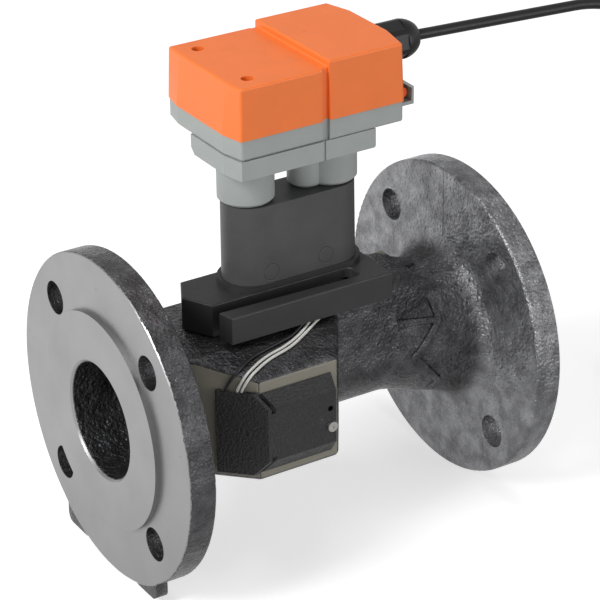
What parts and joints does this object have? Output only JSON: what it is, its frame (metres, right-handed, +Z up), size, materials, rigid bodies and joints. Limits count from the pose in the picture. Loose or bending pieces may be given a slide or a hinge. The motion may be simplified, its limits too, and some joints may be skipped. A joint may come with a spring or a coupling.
{
  "type": "flow sensor",
  "caption": "Flanged ultrasonic flow sensor: cast measuring tube with oblique transducer covers, a plastic pillar, and an orange and grey electronics housing with a gland and cable.",
  "frame": {"origin": "centre of the inlet flange's raised face, on the pipe's axis", "axes": "+X along the pipe from the inlet to the outlet, +Z up through the pillar and housing, +Y to the back"},
  "size_m": [0.438, 0.185, 0.2828],
  "materials": {
    "black_iron": "satin",
    "cover_plastic": "matte",
    "dark_plastic": "satin",
    "black_plastic": "satin",
    "grey_plastic": "matte",
    "orange_plastic": "matte",
    "button_plastic": "satin",
    "white_plastic": "matte",
    "gasket_rubber": "matte",
    "seal_rubber": "matte",
    "bright_steel": "satin",
    "probe_steel": "satin",
    "board_laminate": "satin",
    "capacitor_metal": "satin",
    "cable_jacket": "satin",
    "core_insulation": "satin",
    "black_insulation": "satin",
    "white_insulation": "satin"
  },
  "bodies": {
    "sensor": {"measuring_tube": "black_iron", "transducer_cover_front": "cover_plastic", "transducer_cover_back": "cover_plastic", "cover_gasket_front": "gasket_rubber", "cover_gasket_back": "gasket_rubber", "cover_screws": "bright_steel", "transducer_front": "probe_steel", "transducer_back": "probe_steel", "transducer_seals": "seal_rubber", "temperature_sensor": "probe_steel", "base_gasket": "gasket_rubber", "sensor_base": "dark_plastic", "base_screws": "bright_steel", "neck_pillar": "dark_plastic", "pillar_screws": "bright_steel", "pillar_gasket": "gasket_rubber", "neck_screws": "bright_steel", "housing_base": "grey_plastic", "housing_seal": "seal_rubber", "housing_cover": "orange_plastic", "housing_screws": "bright_steel", "button_switch": "black_plastic", "gland_body": "black_plastic", "gland_locknut": "black_plastic", "gland_seal": "seal_rubber", "gland_nut": "black_plastic", "circuit_board": "board_laminate", "board_chips": "black_plastic", "board_capacitors": "capacitor_metal", "wire_connector": "white_plastic", "cable_terminal": "white_plastic", "cable": "cable_jacket", "cable_coil": "cable_jacket", "cable_cores": "core_insulation", "signal_wire_black": "black_insulation", "signal_wire_back": "black_insulation", "signal_wire_white_upper": "white_insulation", "signal_wire_white_lower": "white_insulation"},
    "button": {"push_button": "button_plastic"}
  },
  "joints": [
    {"name": "button_press", "type": "slide", "parent": "sensor", "child": "button", "axis": [0, 1, 0], "range_m": [0, 0.0018], "stiffness_N_per_m": 300}
  ]
}
